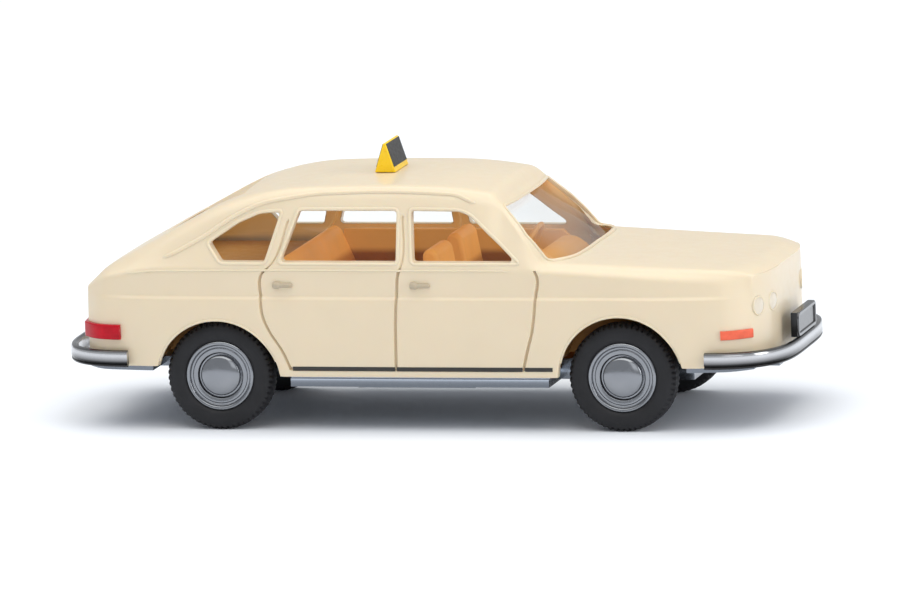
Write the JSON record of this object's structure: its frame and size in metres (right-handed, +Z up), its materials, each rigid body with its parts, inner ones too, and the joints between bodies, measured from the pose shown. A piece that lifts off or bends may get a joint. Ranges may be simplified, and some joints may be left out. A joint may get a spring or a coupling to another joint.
{
  "type": "scale model taxi car",
  "caption": "Small plastic scale model of a fastback taxi saloon: hollow ivory body, clear glazing, caramel cabin insert, roof sign and turning wheel sets.",
  "frame": {"origin": "middle of the bounding box, on the ground under the tyres", "axes": "+X to the front of the car, +Y to its left, +Z up"},
  "size_m": [0.052, 0.019, 0.0191],
  "materials": {
    "ivory": "satin-gloss moulded polystyrene",
    "clear": "clear moulded polystyrene",
    "caramel": "matt moulded plastic",
    "grey": "grey moulded plastic",
    "silver": "silver-painted plastic",
    "yellow": "yellow moulded plastic",
    "lamp_clear": "clear lamp lens over ivory plastic",
    "orange": "orange paint",
    "red": "red paint",
    "steel": "drawn steel pin",
    "wheel_silver": "silver-grey moulded plastic",
    "tyre": "black moulded plastic tyre"
  },
  "bodies": {
    "car": {"body_shell": "ivory", "glazing": "clear", "cabin_insert": "caramel", "steering_wheel": "caramel", "chassis": "grey", "front_bumper": "silver", "rear_bumper": "silver", "plate_block": "silver", "roof_sign": "yellow", "headlamps": "lamp_clear", "front_indicators": "orange", "tail_lamps": "red"},
    "front_wheel_set": {"front_axle": "steel", "wheel_front_left": "wheel_silver", "wheel_front_right": "wheel_silver", "tyre_front_left": "tyre", "tyre_front_right": "tyre"},
    "rear_wheel_set": {"rear_axle": "steel", "wheel_rear_left": "wheel_silver", "wheel_rear_right": "wheel_silver", "tyre_rear_left": "tyre", "tyre_rear_right": "tyre"}
  },
  "joints": [
    {"name": "front_wheels_turn", "type": "hinge", "parent": "car", "child": "front_wheel_set", "pos_m": [0.01455, 0, 0.0038], "axis": [0, 1, 0], "continuous": true},
    {"name": "rear_wheels_turn", "type": "hinge", "parent": "car", "child": "rear_wheel_set", "pos_m": [-0.0142, 0, 0.0038], "axis": [0, 1, 0], "continuous": true}
  ]
}
